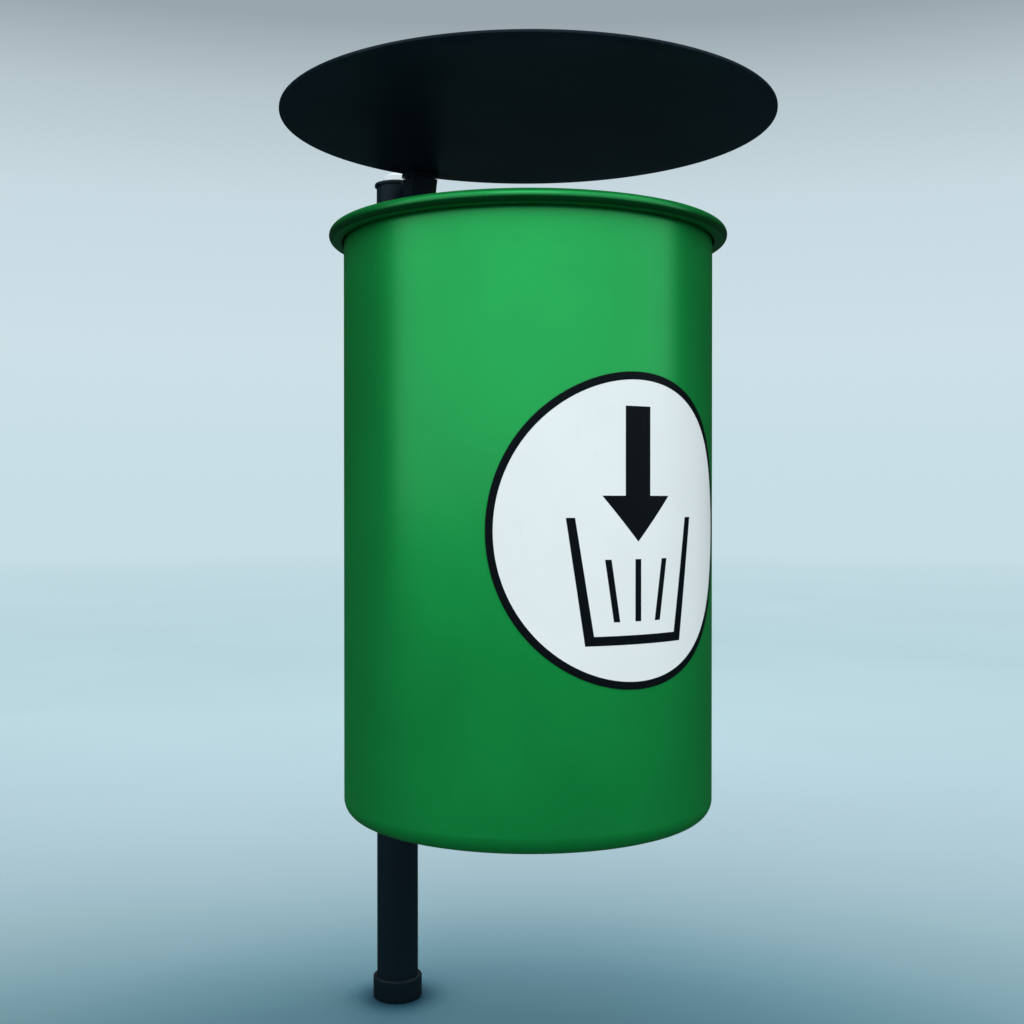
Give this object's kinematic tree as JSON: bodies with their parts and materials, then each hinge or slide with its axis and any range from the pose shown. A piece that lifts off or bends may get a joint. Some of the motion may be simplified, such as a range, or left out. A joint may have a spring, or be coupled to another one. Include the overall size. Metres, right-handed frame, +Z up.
{
  "type": "litter bin",
  "caption": "Round steel litter bin on a slim post, with a rolled rim, a flat disc rain hood that hinges back on a rear arm, and a lift-out liner.",
  "frame": {"origin": "on the post's axis, at the mouth of the foot's bore, level with the ground", "axes": "+Z up along the post; the bin hangs in front of the post towards -Y, where its sticker is; X is to the side"},
  "size_m": [0.51, 0.5901, 1.0276],
  "materials": {
    "green_enamel": "semi-gloss powder coat",
    "dark_enamel": "satin powder coat",
    "pale_plastic": "fine moulded grain",
    "sticker_film": "printed vinyl film",
    "black_rubber": "matt",
    "zinc_fastener": "zinc plated",
    "stainless_steel": "brushed",
    "galvanised_steel": "hot-dip spangle"
  },
  "bodies": {
    "stand": {"post_tube": "dark_enamel", "foot_collar": "dark_enamel", "collar_grub_screws": "zinc_fastener", "ground_sleeve": "dark_enamel", "post_cap": "dark_enamel", "cap_cone": "pale_plastic", "body_shell": "green_enamel", "base_pan": "green_enamel", "liner_rests": "black_rubber", "sticker": "sticker_film", "upper_clamp_front": "dark_enamel", "upper_clamp_back": "dark_enamel", "upper_channel": "dark_enamel", "upper_saddle": "dark_enamel", "lower_clamp_front": "dark_enamel", "lower_clamp_back": "dark_enamel", "lower_channel": "dark_enamel", "lower_saddle": "dark_enamel", "clamp_bolts": "zinc_fastener", "clamp_washers": "zinc_fastener", "clamp_nuts": "zinc_fastener", "saddle_bolts": "zinc_fastener", "saddle_washers": "zinc_fastener", "saddle_nuts": "zinc_fastener", "hood_arm": "dark_enamel", "arm_head": "dark_enamel", "hood_rest_pad": "black_rubber", "hood_hinge_pin": "stainless_steel", "hood_hinge_clip": "stainless_steel"},
    "hood": {"hood_disc": "dark_enamel", "hood_shoe": "dark_enamel", "hood_screws": "zinc_fastener"},
    "liner": {"liner_shell": "galvanised_steel", "liner_base": "galvanised_steel", "handle_lugs": "galvanised_steel", "lug_rivets": "zinc_fastener"},
    "handle_right": {"handle_right": "stainless_steel"},
    "handle_left": {"handle_left": "stainless_steel"}
  },
  "joints": [
    {"name": "hood_hinge", "type": "hinge", "parent": "stand", "child": "hood", "pos_m": [0, -0.0425, 1.0042], "axis": [-1, 0, 0], "range_deg": [0, 100]},
    {"name": "liner_lift", "type": "slide", "parent": "stand", "child": "liner", "axis": [0, 0, 1], "range_m": [0, 0.09]},
    {"name": "handle_right_swing", "type": "hinge", "parent": "liner", "child": "handle_right", "pos_m": [0.15392, -0.305, 0.858], "axis": [0, 1, 0], "range_deg": [-6, 172]},
    {"name": "handle_left_swing", "type": "hinge", "parent": "liner", "child": "handle_left", "pos_m": [-0.15392, -0.305, 0.858], "axis": [0, -1, 0], "range_deg": [-6, 172]}
  ]
}
